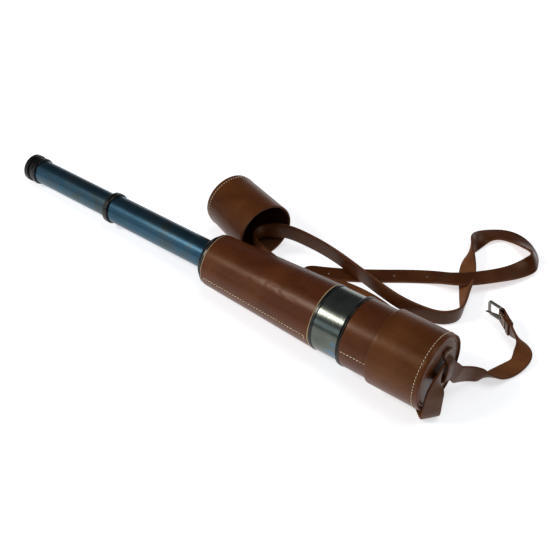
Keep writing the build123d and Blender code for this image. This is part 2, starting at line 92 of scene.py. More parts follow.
# ---- sling routes -------------------------------------------------------------------------------------
# Middle line of the sling from the eye end's foot, and the way its grain side faces.
GRAIN_UP = (0, 0, 1)
FLESH_UP = (0, 0, -1)
SHORT_END = [
    ((0.4746, 0.0055, 0.038), (1, 0, 0.05)),
    ((0.4746, 0.0152, 0.0349), (1, 0, 0.05)),
    ((0.4787, 0.0176, 0.0228), (1, -0.1, 0)),
    ((0.4807, 0.0278, 0.016), (0.95, -0.3, 0)),
    ((0.4844, 0.0366, 0.0106), (0.85, -0.5, 0)),
    ((0.4903, 0.0414, 0.00875), (0.8, -0.6, -0.05)),
    ((0.4946, 0.0447, 0.00725), (0.6, -0.45, -0.65)),
    ((0.499, 0.0539, 0.00355), (0.2, -0.15, -0.97)),
    ((0.5039, 0.0666, 0.00135), FLESH_UP),
    ((0.5077, 0.0769, 0.003), (0.3, 0.1, -0.95)),
    ((0.5067, 0.0849, 0.0045), (0.1, -0.15, -0.98)),
    ((0.5036, 0.0916, 0.0065), (-0.2, -0.35, -0.9)),
    ((0.4976, 0.0962, 0.0084), (-0.45, -0.6, -0.6)),
    ((0.487, 0.0998, 0.0094), (-0.58, -0.79, -0.18)),
    ((0.4822, 0.1032, 0.0099), (-0.58, -0.79, -0.18)),
    ((0.4773, 0.1067, 0.0105), (-0.58, -0.79, -0.18)),
    ((0.474, 0.109, 0.0109), (-0.58, -0.79, -0.18)),
]
LONG_END = [
    ((0.4746, 0.0055, 0.038), (1, 0, 0.05)),
    ((0.4748, -0.0012, 0.0401), (1, 0, 0.05)),
    ((0.4766, -0.0076, 0.0416), (0.98, -0.15, 0.05)),
    ((0.4786, -0.0136, 0.0406), (0.9, -0.42, 0.05)),
    ((0.4794, -0.017, 0.033), (0.8, -0.6, 0)),
    ((0.4795, -0.018, 0.02), (0.78, -0.62, 0)),
    ((0.4798, -0.0184, 0.0085), (0.78, -0.62, 0)),
    ((0.4779, -0.0164, 0.0017), (0.5, -0.4, -0.75)),
    ((0.469, -0.009, 0.0012), FLESH_UP),
    ((0.469, -0.009, 0.0014), FLESH_UP),
    ((0.448, 0.0125, 0.0012), FLESH_UP),
    ((0.432, 0.0305, 0.0014), FLESH_UP),
    ((0.415, 0.0465, 0.0012), FLESH_UP),
    ((0.395, 0.058, 0.0012), FLESH_UP),
    ((0.373, 0.0625, 0.0015), FLESH_UP),
    ((0.353, 0.0605, 0.003), (0, 0.2, -0.98)),
    ((0.336, 0.0525, 0.00675), (-0.2, 0.65, -0.7)),
    ((0.318, 0.045, 0.0089), (-0.3, 0.95, -0.15)),
    ((0.298, 0.0415, 0.0086), (-0.1, 1, 0)),
    ((0.28, 0.042, 0.0099), (0, 1, 0)),
    ((0.264, 0.0435, 0.012), (0.1, 1, 0)),
    ((0.252, 0.0462, 0.0126), (0.3, 0.95, 0)),
    ((0.2435, 0.0505, 0.0122), (0.6, 0.8, 0)),
    ((0.24, 0.0575, 0.0122), (1, 0, 0)),
    ((0.2425, 0.0648, 0.0146), (0.8, -0.6, 0)),
    ((0.2495, 0.0686, 0.017), (0.35, -0.94, 0)),
    ((0.261, 0.0718, 0.0206), (0.25, -0.97, 0)),
    ((0.273, 0.0762, 0.0194), (0.3, -0.95, 0)),
    ((0.286, 0.0808, 0.0152), (0.2, -0.98, 0)),
    ((0.302, 0.0836, 0.0118), (0, -1, 0)),
    ((0.322, 0.0816, 0.0113), (-0.15, -0.98, 0)),
    ((0.347, 0.0768, 0.0112), (-0.2, -0.98, 0)),
    ((0.372, 0.0716, 0.0112), (-0.15, -0.98, 0)),
    ((0.394, 0.0684, 0.0112), (0, -1, 0)),
    ((0.414, 0.0705, 0.0102), (0.05, -1, 0)),
    ((0.431, 0.0756, 0.0092), (0.25, -0.97, 0)),
    ((0.4406, 0.0865, 0.0088), (0.75, -0.66, 0)),
    ((0.4414, 0.0955, 0.0087), (0.95, -0.3, -0.05)),
    ((0.439, 0.1027, 0.0087), (0.88, 0.1, -0.15)),
    ((0.4339, 0.1128, 0.00815), (0.75, 0.5, -0.4)),
    ((0.4281, 0.126, 0.00725), (0.6, 0.45, -0.65)),
    ((0.4217, 0.139, 0.00425), (0.3, 0.2, -0.93)),
    ((0.4175, 0.1472, 0.00465), (0.32, 0.22, -0.92)),
    ((0.4116, 0.1585, 0.00705), (0.65, 0.45, -0.6)),
    ((0.4073, 0.168, 0.00885), (0.85, 0.45, -0.1)),
    ((0.4047, 0.1844, 0.0071), (0.6, 0.45, 0.65)),
    ((0.4066, 0.1989, 0.0045), (0.1, 0.25, 0.96)),
    ((0.4147, 0.2099, 0.0027), (-0.1, 0.12, 0.98)),
    ((0.4254, 0.2145, 0.0027), (0, 0.1, 0.99)),
    ((0.4394, 0.212, 0.0043), (0.25, 0.15, 0.95)),
    ((0.4543, 0.2029, 0.0066), (0.55, 0.35, 0.75)),
    ((0.4614, 0.1938, 0.0087), (0.8, 0.45, 0.35)),
    ((0.4604, 0.1846, 0.0069), (0.55, 0.1, 0.8)),
    ((0.4529, 0.1695, 0.006), (0.15, -0.05, 1)),
    ((0.4438, 0.1535, 0.0085), GRAIN_UP),
    ((0.4292, 0.1344, 0.01045), GRAIN_UP),
    ((0.4186, 0.1251, 0.0108), GRAIN_UP),
    ((0.396, 0.1225, 0.0019), GRAIN_UP),
    ((0.376, 0.109, 0.0014), GRAIN_UP),
    ((0.356, 0.0935, 0.0013), GRAIN_UP),
    ((0.334, 0.0775, 0.0013), GRAIN_UP),
    ((0.313, 0.0645, 0.0013), GRAIN_UP),
    ((0.296, 0.056, 0.0013), GRAIN_UP),
]

# ---- mesh tools ---------------------------------------------------------------------------------------
def new_object(name, vertices, faces, materials, smooth_angle=40):
    mesh = bpy.data.meshes.new(name)
    mesh.from_pydata(vertices, [], faces)
    mesh.update()
    for material in materials:
        mesh.materials.append(material)
    mesh.shade_smooth()
    mesh.set_sharp_from_angle(angle=math.radians(smooth_angle))
    obj = bpy.data.objects.new(name, mesh)
    bpy.context.scene.collection.objects.link(obj)
    return obj


def finished(obj, body, slot, *nodes):
    """Hands a piece to the frame: its body, and the CAD nodes that it stands for, which it hides. The slot
    argument is not used.
    """
    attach(obj, body)
    if nodes:
        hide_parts(*nodes)
    return obj


def spline_line(points, steps):
    """Points along the NURBS spline that has a route's points as its control points."""
    data = bpy.data.curves.new("route", "CURVE")
    data.dimensions = "3D"
    spline = data.splines.new("NURBS")
    spline.points.add(len(points) - 1)
    for control, point in zip(spline.points, points):
        control.co = (*point, 1)
    spline.order_u = 3
    spline.use_endpoint_u = True
    spline.resolution_u = steps
    holder = bpy.data.objects.new("route", data)
    mesh = bpy.data.meshes.new_from_object(holder)
    line = [vertex.co.copy() for vertex in mesh.vertices]
    bpy.data.objects.remove(holder)
    bpy.data.curves.remove(data)
    bpy.data.meshes.remove(mesh)
    return line


TIGHT = 0.45                              # an edge step under this share of the middle line's is a tight fold
EASE_REACH, EASE_FADE, EASE_ROUNDS = 3, 6, 60


def eased_edges(line, sides, half):
    """A strap's two edges as points, smoothed where a tight fold would make one of them run backwards."""
    edges = ([], [])
    for i, point in enumerate(line):
        along = (line[min(i + 1, len(line) - 1)] - line[max(i - 1, 0)]).normalized()
        across = sides[i].cross(along).normalized() * half
        edges[0].append(point - across)
        edges[1].append(point + across)
    tight = set()
    for edge in edges:
        for i in range(len(line) - 1):
            step = line[i + 1] - line[i]
            if (edge[i + 1] - edge[i]).dot(step) < TIGHT * step.length_squared:
                tight.add(i)
    shares = [max([0.0] + [1 - max(0, abs(i - k) - EASE_REACH) / EASE_FADE for k in tight])
              for i in range(len(line))]
    shares[0] = shares[-1] = 0.0
    for _ in range(EASE_ROUNDS):
        for edge in edges:
            before = list(edge)
            for i, share in enumerate(shares):
                if share > 0:
                    edge[i] = before[i].lerp((before[i - 1] + before[i + 1]) / 2, 0.5 * share)
    return edges


def ribbon(name, line, sides, width, thick, materials, tip=0.0, floor=None, crown=0.0):
    """A leather strip along a line. sides says where its grain faces. Its faces are grain, flesh, edge."""
    half, corner = width / 2, min(thick * 0.32, 0.0007)
    flats = (-0.84, -0.6, -0.3, 0.0, 0.3, 0.6, 0.84)
    top, bottom = thick / 2, -thick / 2
    outline = [(-half + corner * 0.3, top - corner * 0.3), (-half + corner, top)]
    outline += [(f * half, top + crown * (1 - f * f)) for f in flats]
    outline += [(half - corner, top), (half - corner * 0.3, top - corner * 0.3), (half, top - corner)]
    outline += [(half, bottom + corner), (half - corner * 0.3, bottom + corner * 0.3)]
    outline += [(half - corner, bottom), (half * 0.5, bottom), (0, bottom), (-half * 0.5, bottom)]
    outline += [(-half + corner, bottom), (-half + corner * 0.3, bottom + corner * 0.3)]
    outline += [(-half, bottom + corner), (-half, top - corner)]
    grain_edges = range(1, len(flats) + 2)
    flesh_edges = range(len(flats) + 7, len(flats) + 11)
    count = len(outline)
    lengths = [0.0]
    for a, b in zip(line, line[1:]):
        lengths.append(lengths[-1] + (b - a).length)
    vertices, places = [], []
    edges = eased_edges(line, sides, half)
    line = [(a + b) / 2 for a, b in zip(*edges)]
    for i, point in enumerate(line):
        along = (line[min(i + 1, len(line) - 1)] - line[max(i - 1, 0)]).normalized()
        across = (edges[1][i] - edges[0][i]) / width
        out = along.cross(across).normalized()
        left = lengths[-1] - lengths[i]
        narrow = math.sqrt(max(0.02, 1 - (1 - left / tip) ** 2)) if tip and left < tip else 1.0
        ring = [point + across * (u * narrow) + out * v for u, v in outline]
        if floor is not None:
            lift = max(0.0, floor - min(corner_point.z for corner_point in ring))
            ring = [corner_point + UP * lift for corner_point in ring]
        vertices += ring
        places += [(u * narrow, lengths[i]) for u, _ in outline]
    faces = []
    for i in range(len(line) - 1):
        for k in range(count):
            a, b = i * count + k, i * count + (k + 1) % count
            faces.append((a, b, b + count, a + count))
    last = (len(line) - 1) * count
    faces.append(tuple(reversed(range(count))))
    faces.append(tuple(range(last, last + count)))
    obj = new_object(name, vertices, faces, materials, smooth_angle=55)
    mesh = obj.data
    uv = mesh.uv_layers.new(name="strip")
    for polygon in mesh.polygons:
        edge = polygon.index % count
        capped = polygon.index >= len(faces) - 2
        look = 0 if edge in grain_edges else 1 if edge in flesh_edges else 2
        polygon.material_index = 2 if capped else look
        for loop in polygon.loop_indices:
            uv.data[loop].uv = places[mesh.loops[loop].vertex_index]
    return obj


def rounded(outline, radius, steps=4):
    """A closed (x, radius) outline with its corners rounded."""
    out = []
    points = [Vector(point) for point in outline]
    for before, here, after in zip(points[-1:] + points[:-1], points, points[1:] + points[:1]):
        reach = min(radius, (before - here).length * 0.45, (after - here).length * 0.45)
        a = here + (before - here).normalized() * reach
        b = here + (after - here).normalized() * reach
        for k in range(steps + 1):
            t = k / steps
            out.append(a * (1 - t) ** 2 + here * 2 * t * (1 - t) + b * t ** 2)
    return out


def refined(outline, step, extra_x=()):
    """Adds points to an outline's long runs, and at each wanted x of its outer run."""
    out = []
    for a, b in zip(outline, outline[1:] + outline[:1]):
        out.append(a)
        length = (b - a).length
        shares = [k / math.ceil(length / step) for k in range(1, math.ceil(length / step))]
        if abs(b.x - a.x) > 5 and (a.y + b.y) / 2 > sum(p.y for p in outline) / len(outline):
            wanted = [(x - a.x) / (b.x - a.x) for x in extra_x]
            shares += [share for share in wanted if 0 < share < 1]
        out += [a.lerp(b, share) for share in sorted(set(shares))]
    return out


def all_round(step=3.0, extra=()):
    """Angles round a turned shell in degrees, from its top towards the camera's side."""
    angles = {round(k * step, 3) for k in range(round(360 / step))}
    angles |= {round(angle % 360, 3) for angle in extra}
    return sorted(angles)


END_FACING = 0.6                          # a face that looks along the axis more than this is raw edge


def shell(name, place, outline, materials, angles, relief=None, bare=0.0):
    """A turned leather shell. relief(x, angle, radius) is how far its skin stands off, in mm.
    Its faces are skin, raw edge (what looks along the axis, or is closer than bare mm to an end)
    and lining (what looks inwards)."""
    low_x, high_x = min(point.x for point in outline), max(point.x for point in outline)
    low_r, high_r = (max(p.y for p in outline if abs(p.x - x) < 2) for x in (low_x, high_x))
    thickness = high_r - min(point.y for point in outline if abs(point.x - high_x) < 2)

    def middle(x):
        return low_r + (high_r - low_r) * (x - low_x) / (high_x - low_x) - thickness / 2

    vertices, where = [], []
    for point in outline:
        for angle in angles:
            turn = math.radians(angle)
            radius = point.y
            if relief and radius > middle(point.x):
                radius += relief(point.x, angle, radius)
            spot = Vector((point.x, -radius * math.sin(turn), radius * math.cos(turn))) * MM
            vertices.append(place @ spot)
            where.append((point.x, angle, radius))
    count, rings = len(angles), len(outline)
    faces = []
    for i in range(rings):
        for k in range(count):
            a, b = i * count + k, i * count + (k + 1) % count
            c, d = ((i + 1) % rings) * count + (k + 1) % count, ((i + 1) % rings) * count + k
            faces.append((a, b, c, d))
    obj = new_object(name, vertices, faces, materials)
    mesh = obj.data
    along = (place.to_3x3() @ Vector((1, 0, 0))).normalized()
    uv = mesh.uv_layers.new(name="wrap")
    for polygon in mesh.polygons:
        ring, column = divmod(polygon.index, count)
        pair = (outline[ring], outline[(ring + 1) % rings])
        inward = all(point.y < middle(point.x) for point in pair)
        facing = abs(polygon.normal.dot(along)) > END_FACING
        facing |= max(min(point.x - low_x, high_x - point.x) for point in pair) < bare
        polygon.material_index = 1 if facing else 2 if inward else 0
        for loop in polygon.loop_indices:
            x, angle, radius = where[mesh.loops[loop].vertex_index]
            if column == count - 1 and angle < 180:
                angle += 360
            uv.data[loop].uv = (math.radians(angle) * high_r * MM, x * MM)
    return obj


def disc(name, place, outline, materials, angles):
    """A turned solid that reaches its axis, from an open (x, radius) outline that ends at radius 0."""
    vertices, faces = [], []
    count = len(angles)
    for point in outline:
        for angle in angles:
            turn = math.radians(angle)
            spot = Vector((point[0], -point[1] * math.sin(turn), point[1] * math.cos(turn))) * MM
            vertices.append(place @ spot)
    for i in range(len(outline) - 1):
        for k in range(count):
            a, b = i * count + k, i * count + (k + 1) % count
            faces.append((a, b, b + count, a + count))
    last = (len(outline) - 1) * count
    faces.append(tuple(reversed(range(count))))
    faces.append(tuple(range(last, last + count)))
    return new_object(name, vertices, faces, materials)


def stitch_row(name, places, length, thick, material, slant=8):
    """A row of thread stitches. Each place is (middle, direction, outward)."""
    rings, sides = 6, 6
    vertices, faces = [], []
    for number, (middle, along, out) in enumerate(places):
        across = out.cross(along).normalized()
        turned = Matrix.Rotation(math.radians(slant), 3, out)
        along, across = turned @ along.normalized(), turned @ across
        first = len(vertices)
        wobble = noise.noise(Vector((number * 1.7, 3.1, 0))) * 0.12
        for i in range(rings):
            t = -1 + 2 * i / (rings - 1)
            radius = thick / 2 * math.sqrt(max(0.12, 1 - abs(t) ** 3))
            lift = thick * (0.42 - 0.55 * t * t)
            centre = middle + along * (t * length / 2) + out * lift + across * (wobble * thick)
            for k in range(sides):
                turn = 2 * math.pi * k / sides
                vertices.append(centre + across * (radius * math.cos(turn)) + out * (radius * math.sin(turn)))
        for i in range(rings - 1):
            for k in range(sides):
                a, b = first + i * sides + k, first + i * sides + (k + 1) % sides
                faces.append((b, a, a + sides, b + sides))
        faces.append(tuple(range(first, first + sides)))
        end = first + (rings - 1) * sides
        faces.append(tuple(reversed(range(end, end + sides))))
    return new_object(name, vertices, faces, [material], smooth_angle=80)


def on_shell(place, x, angle, radius):
    """(point, along the axis, round the shell, outward) on a turned surface."""
    turn = math.radians(angle)
    turned = place.to_3x3()
    out = turned @ Vector((0, -math.sin(turn), math.cos(turn)))
    round_way = turned @ Vector((0, -math.cos(turn), -math.sin(turn)))
    point = place @ (Vector((x, -radius * math.sin(turn), radius * math.cos(turn))) * MM)
    return point, turned @ Vector((1, 0, 0)), round_way, out


# ---- materials ----------------------------------------------------------------------------------------
class Look:
    """A procedural material that is built up node by node on one Principled shader."""

    def __init__(self, name, **sockets):
        self.material = bpy.data.materials.new(name)
        self.material.use_nodes = True
        self.tree = self.material.node_tree
        self.shader = self.tree.nodes["Principled BSDF"]
        for socket, value in sockets.items():
            self.shader.inputs[socket.replace("_", " ")].default_value = value
        self.height = None

    def node(self, kind, values=None, links=None, **settings):
        made = self.tree.nodes.new(kind)
        for key, value in settings.items():
            setattr(made, key, value)
        for key, value in (values or {}).items():
            made.inputs[key].default_value = value
        for key, source in (links or {}).items():
            self.tree.links.new(source, made.inputs[key])
        return made

    def coordinates(self, scale, uv=None):
        if uv:
            source = self.node("ShaderNodeUVMap", uv_map=uv).outputs["UV"]
        else:
            source = self.node("ShaderNodeTexCoord").outputs["Object"]
        return self.node("ShaderNodeMapping", {"Scale": scale}, {"Vector": source}).outputs["Vector"]

    def noise(self, vector, scale, detail=4.0, roughness=0.55, distortion=0.0):
        values = {"Scale": scale, "Detail": detail, "Roughness": roughness, "Distortion": distortion}
        return self.node("ShaderNodeTexNoise", values, {"Vector": vector}).outputs["Fac"]

    def cells(self, vector, scale, feature="F1"):
        return self.node("ShaderNodeTexVoronoi", {"Scale": scale}, {"Vector": vector},
                         feature=feature).outputs["Distance"]

    def ramp(self, source, *stops):
        """Maps a value through (position, colour or grey) stops."""
        made = self.node("ShaderNodeValToRGB", links={"Fac": source})
        elements = made.color_ramp.elements
        while len(elements) < len(stops):
            elements.new(0.5)
        for element, (position, colour) in zip(elements, stops):
            element.position = position
            element.color = (*colour, 1) if isinstance(colour, tuple) else (colour, colour, colour, 1)
        return made.outputs["Color"]

    def mix(self, share, a, b, blend="MIX"):
        made = self.node("ShaderNodeMix", data_type="RGBA", blend_type=blend)
        for key, value in ((0, share), (6, a), (7, b)):
            if isinstance(value, bpy.types.NodeSocket):
                self.tree.links.new(value, made.inputs[key])
            else:
                made.inputs[key].default_value = (*value, 1) if isinstance(value, tuple) else value
        return made.outputs[2]

    def math(self, operation, a, b):
        made = self.node("ShaderNodeMath", operation=operation)
        for key, value in ((0, a), (1, b)):
            if isinstance(value, bpy.types.NodeSocket):
                self.tree.links.new(value, made.inputs[key])
            else:
                made.inputs[key].default_value = value
        return made.outputs[0]

    def use(self, socket, source):
        self.tree.links.new(source, self.shader.inputs[socket])

    def bump(self, source, distance, strength=1.0):
        """Adds a layer of bump over those made before it."""
        links = {"Height": source}
        if self.height:
            links["Normal"] = self.height
        made = self.node("ShaderNodeBump", {"Distance": distance, "Strength": strength}, links)
        self.height = made.outputs["Normal"]
        self.use("Normal", self.height)


def leather(name, dark, mid, light, gloss, scuffs, uv="wrap"):
    """Waxed, worn hide: cloudy colour, fine grain, long scratches and pale scuffs."""
    look = Look(name, Roughness=gloss, Specular_IOR_Level=0.26, Coat_Weight=0.06, Coat_Roughness=0.2,
                Specular_Tint=(1.0, 0.66, 0.44, 1))
    place = look.coordinates((1, 1, 1))
    clouds = look.noise(place, 24, 5, 0.6, 0.4)
    colour = look.ramp(clouds, (0.3, dark), (0.52, mid), (0.74, light))
    pores = look.noise(place, 900, 3, 0.6)
    colour = look.mix(0.55, colour, look.ramp(pores, (0.35, 0.62), (0.6, 1.0)), "MULTIPLY")
    along = look.coordinates((1400, 60, 1), uv)
    scratch = look.noise(along, 1.0, 3, 0.7)
    across = look.coordinates((110, 1300, 1), uv)
    nick = look.noise(across, 1.0, 2, 0.7)
    worn = look.noise(place, 38, 4, 0.7)
    marks = look.math("MULTIPLY", look.ramp(scratch, (0.66, 0.0), (0.74, 1.0)),
                      look.ramp(worn, (0.5, 0.0), (0.66, 1.0)))
    nicks = look.math("MULTIPLY", look.ramp(nick, (0.69, 0.0), (0.76, 1.0)),
                      look.ramp(worn, (0.42, 1.0), (0.6, 0.0)))
    rubbed = look.math("MULTIPLY", look.math("ADD", marks, nicks), scuffs)
    look.use("Base Color", look.mix(rubbed, colour, tuple(min(1, c * 1.9 + 0.03) for c in light)))
    rough = look.math("ADD", gloss - 0.09, look.math("MULTIPLY", clouds, 0.16))
    look.use("Roughness", look.math("ADD", rough, look.math("MULTIPLY", rubbed, 0.25)))
    grain = look.cells(place, 1250)
    look.bump(grain, 0.00004, 0.55)
    look.bump(look.noise(place, 190, 4, 0.6), 0.00025, 0.5)
    look.bump(scratch, 0.00006, 0.35)
    return look.material


def suede(name, dark, light, rough=0.85):
    """The flesh side of hide, and its cut edges: open, fibrous and matt."""
    look = Look(name, Roughness=rough, Specular_IOR_Level=0.18)
    place = look.coordinates((1, 1, 1))
    fibre = look.noise(place, 620, 5, 0.7)
    clouds = look.noise(place, 45, 4, 0.6)
    base = look.ramp(clouds, (0.34, dark), (0.7, light))
    look.use("Base Color", look.mix(0.5, base, look.ramp(fibre, (0.3, 0.5), (0.68, 1.15)), "MULTIPLY"))
    look.bump(fibre, 0.0003, 0.6)
    return look.material


def metal(name, dark, light, rough, spots=None, spots_from=0.68, scratches=0.5, spot_scale=260, fade=0.05):
    """Tarnished brass: clouded colour, fine lengthwise scratches, and spots of a second colour."""
    look = Look(name, Metallic=1.0, Roughness=rough)
    place = look.coordinates((1, 1, 1))
    clouds = look.noise(place, 30, 5, 0.6)
    colour = look.ramp(clouds, (0.34, dark), (0.68, light))
    fine = look.noise(look.coordinates((35, 2600, 2600)), 1.0, 2, 0.6)
    round_about = look.noise(look.coordinates((3200, 60, 60)), 1.0, 2, 0.6)
    if spots:
        speckle = look.noise(place, spot_scale, 3, 0.7)
        rub = look.math("MULTIPLY", speckle, look.ramp(clouds, (0.3, 0.85), (0.7, 1.12)))
        colour = look.mix(look.ramp(rub, (spots_from, 0.0), (spots_from + fade, 1.0)), colour, spots)
    look.use("Base Color", look.mix(0.25, colour, look.ramp(fine, (0.3, 0.7), (0.7, 1.2)), "MULTIPLY"))
    spread = look.math("ADD", rough - 0.07, look.math("MULTIPLY", look.noise(place, 70, 5, 0.65), 0.15))
    look.use("Roughness", look.math("ADD", spread, look.math("MULTIPLY", fine, 0.04)))
    look.bump(fine, 0.00002, scratches)
    look.bump(round_about, 0.00002, scratches * 0.6)
    return look.material


def glass(name):
    look = Look(name, Roughness=0.02, Transmission_Weight=1.0, IOR=1.52, Coat_Weight=0.3)
    haze = look.noise(look.coordinates((1, 1, 1)), 120, 3)
    look.use("Base Color", look.ramp(haze, (0.3, (0.93, 0.96, 0.95)), (0.7, (0.97, 0.98, 0.97))))
    return look.material


BARREL_HIDE = leather("barrel_hide", (0.070, 0.015, 0.0035), (0.100, 0.024, 0.006), (0.135, 0.039, 0.010),
                      0.36, 0.8)
CAP_HIDE = leather("cap_hide", (0.078, 0.020, 0.0035), (0.112, 0.031, 0.006), (0.155, 0.048, 0.011),
                   0.38, 0.6)
STRAP_HIDE = leather("strap_hide", (0.055, 0.013, 0.0022), (0.080, 0.021, 0.0035), (0.115, 0.034, 0.007),
                     0.40, 0.7, "strip")
FLESH = suede("flesh_side", (0.155, 0.050, 0.014), (0.235, 0.085, 0.025))
STRAP_EDGE = suede("strap_edge", (0.10, 0.030, 0.009), (0.16, 0.055, 0.017), 0.6)
RAW_EDGE = suede("raw_edge", (0.50, 0.36, 0.18), (0.78, 0.60, 0.34), 0.7)
LINING = suede("lining", (0.110, 0.038, 0.014), (0.180, 0.068, 0.028))
THREAD = suede("thread", (0.74, 0.57, 0.36), (0.92, 0.77, 0.54), 0.7)

BLUED = metal("blued_brass", (0.028, 0.070, 0.100), (0.055, 0.120, 0.175), 0.32,
              spots=(0.060, 0.075, 0.070), spots_from=0.48, spot_scale=30, fade=0.25)
BLACKENED = metal("blackened_brass", (0.024, 0.024, 0.024), (0.060, 0.058, 0.054), 0.28,
                  spots=(0.20, 0.17, 0.12), spots_from=0.70)
PATINA = metal("patina_brass", (0.080, 0.092, 0.078), (0.150, 0.162, 0.135), 0.19,
               spots=(0.07, 0.16, 0.27), spots_from=0.56, spot_scale=40, fade=0.14)
DARK_RINGS = metal("dark_rings", (0.020, 0.020, 0.018), (0.055, 0.052, 0.045), 0.26, spots=(0.26, 0.22, 0.15))
TURNED = metal("turned_brass", (0.50, 0.36, 0.14), (0.66, 0.50, 0.22), 0.30, scratches=0.8)
MATT_BLACK = metal("matt_black", (0.010, 0.010, 0.010), (0.022, 0.021, 0.020), 0.62)
STEEL = metal("buckle_metal", (0.070, 0.062, 0.050), (0.17, 0.155, 0.130), 0.30,
              spots=(0.36, 0.31, 0.22), spots_from=0.66)
GLASS = glass("optical_glass")

CARRIED_OVER = {
    "draw_tube_1": BLUED, "draw_tube_2": BLUED,
    "eyecup": BLACKENED, "eye_ring": BLACKENED, "draw_2_collar": BLACKENED,
    "rear_collar": BLACKENED, "front_collar": BLACKENED,
    "objective_tube": PATINA, "sunshade_tube": PATINA,
    "sunshade_rear_ring": DARK_RINGS, "sunshade_front_ring": DARK_RINGS,
    "body_tube": TURNED, "draw_2_guide": TURNED, "draw_1_guide": TURNED, "draw_2_stop": TURNED,
    "draw_1_stop": TURNED, "erector_tube": TURNED, "eyepiece_tube": TURNED, "sunshade_guide": TURNED,
    "lens_ring": BLACKENED,
    "objective_cell": MATT_BLACK, "body_baffle": MATT_BLACK, "erector_stop": MATT_BLACK,
    "buckle_frame": STEEL, "buckle_tongue": STEEL,
    "flint_lens": GLASS, "crown_lens": GLASS, "erector_lens_rear": GLASS, "erector_lens_front": GLASS,
    "field_lens": GLASS, "eye_lens": GLASS,
}
for node, material in CARRIED_OVER.items():
    cad_piece = frame["nodes"][node]
    if not cad_piece.material_slots:
        cad_piece.data.materials.append(material)
    for material_slot in cad_piece.material_slots:
        material_slot.material = material

# ---- sling --------------------------------------------------------------------------------------------
STRAP_WIDTH, STRAP_THICK = 0.016, 0.0022
LINE_STEPS = 9
CLEAR_OF_TONGUE = 5                       # line steps that the short end stops short of the tongue's root
FLOOR = 0.0001
STRAP_LOOKS = [STRAP_HIDE, FLESH, STRAP_EDGE]


def sling_line(route):
    """The strap's middle line, and where its grain side faces at each of its points."""
    line = spline_line([FOOT + Vector(point) for point, _ in route], LINE_STEPS)
    reach = 0.01
    guide = spline_line([FOOT + Vector(point) + Vector(side).normalized() * reach for point, side in route],
                        LINE_STEPS)
    return line, [(b - a).normalized() for a, b in zip(line, guide)]


short_line, short_sides = sling_line(SHORT_END)
long_line, long_sides = sling_line(LONG_END)
short_strap = ribbon("sling_short", short_line[:-CLEAR_OF_TONGUE], short_sides[:-CLEAR_OF_TONGUE],
                     STRAP_WIDTH, STRAP_THICK, STRAP_LOOKS, floor=FLOOR, crown=0.00015)
long_strap = ribbon("sling_long", long_line, long_sides, STRAP_WIDTH, STRAP_THICK, STRAP_LOOKS,
                    tip=0.012, floor=FLOOR, crown=0.00015)


def punched(obj, line, sides, distances, radius):
    """Cuts round buckle holes at distances back from a strap's tip."""
    length = 0.0
    wanted = sorted(distances)
    cutters = []
    for i in range(len(line) - 1, 0, -1):
        step = (line[i - 1] - line[i]).length
        while wanted and length + step >= wanted[0]:
            share = (wanted.pop(0) - length) / step
            spot, out = line[i].lerp(line[i - 1], share), sides[i]
            turned = out.to_track_quat("Z", "Y").to_matrix()
            ring = [turned @ Vector((radius * math.cos(a), radius * math.sin(a), 0))
                    for a in [2 * math.pi * k / 16 for k in range(16)]]
            low = [spot + point - out * 0.003 for point in ring]
            high = [spot + point + out * 0.003 for point in ring]
            walls = [(k, (k + 1) % 16, 16 + (k + 1) % 16, 16 + k) for k in range(16)]
            walls += [tuple(reversed(range(16))), tuple(range(16, 32))]
            cutters.append(new_object("hole_cutter", low + high, walls, [STRAP_EDGE]))
        length += step
    for cutter in cutters:
        modifier = obj.modifiers.new("hole", "BOOLEAN")
        modifier.operation = "DIFFERENCE"
        modifier.object = cutter
        modifier.material_mode = "TRANSFER"
    graph = bpy.context.evaluated_depsgraph_get()
    mesh = bpy.data.meshes.new_from_object(obj.evaluated_get(graph))
    obj.modifiers.clear()
    obj.data = mesh
    for cutter in cutters:
        bpy.data.objects.remove(cutter)


HOLES_FROM_TIP = (0.025, 0.055, 0.085, 0.115)
punched(long_strap, long_line, long_sides, HOLES_FROM_TIP, 0.0014)

finished(short_strap, "front_cap", "strap_leather", "sling_buckle_end")
finished(long_strap, "front_cap", "strap_leather", "sling_front_turn", "sling_under_cap", "sling_long_end")

# The chape folds round the buckle's bar, and the keeper loop stands behind it.
BAR = Vector((0.4716, 0.1107, 0.0112))
chape_heading = Vector((-0.8126, 0.5747, 0.0971)).normalized()
chape_face = Vector((-0.5821, -0.7919, -0.1843)).normalized()
chape_across = chape_face.cross(chape_heading)
BUCKLE_PLACE = placed(FOOT + BAR, chape_heading, chape_across)


def in_buckle(x, y, z):
    return BUCKLE_PLACE @ (Vector((x, y, z)) * MM)


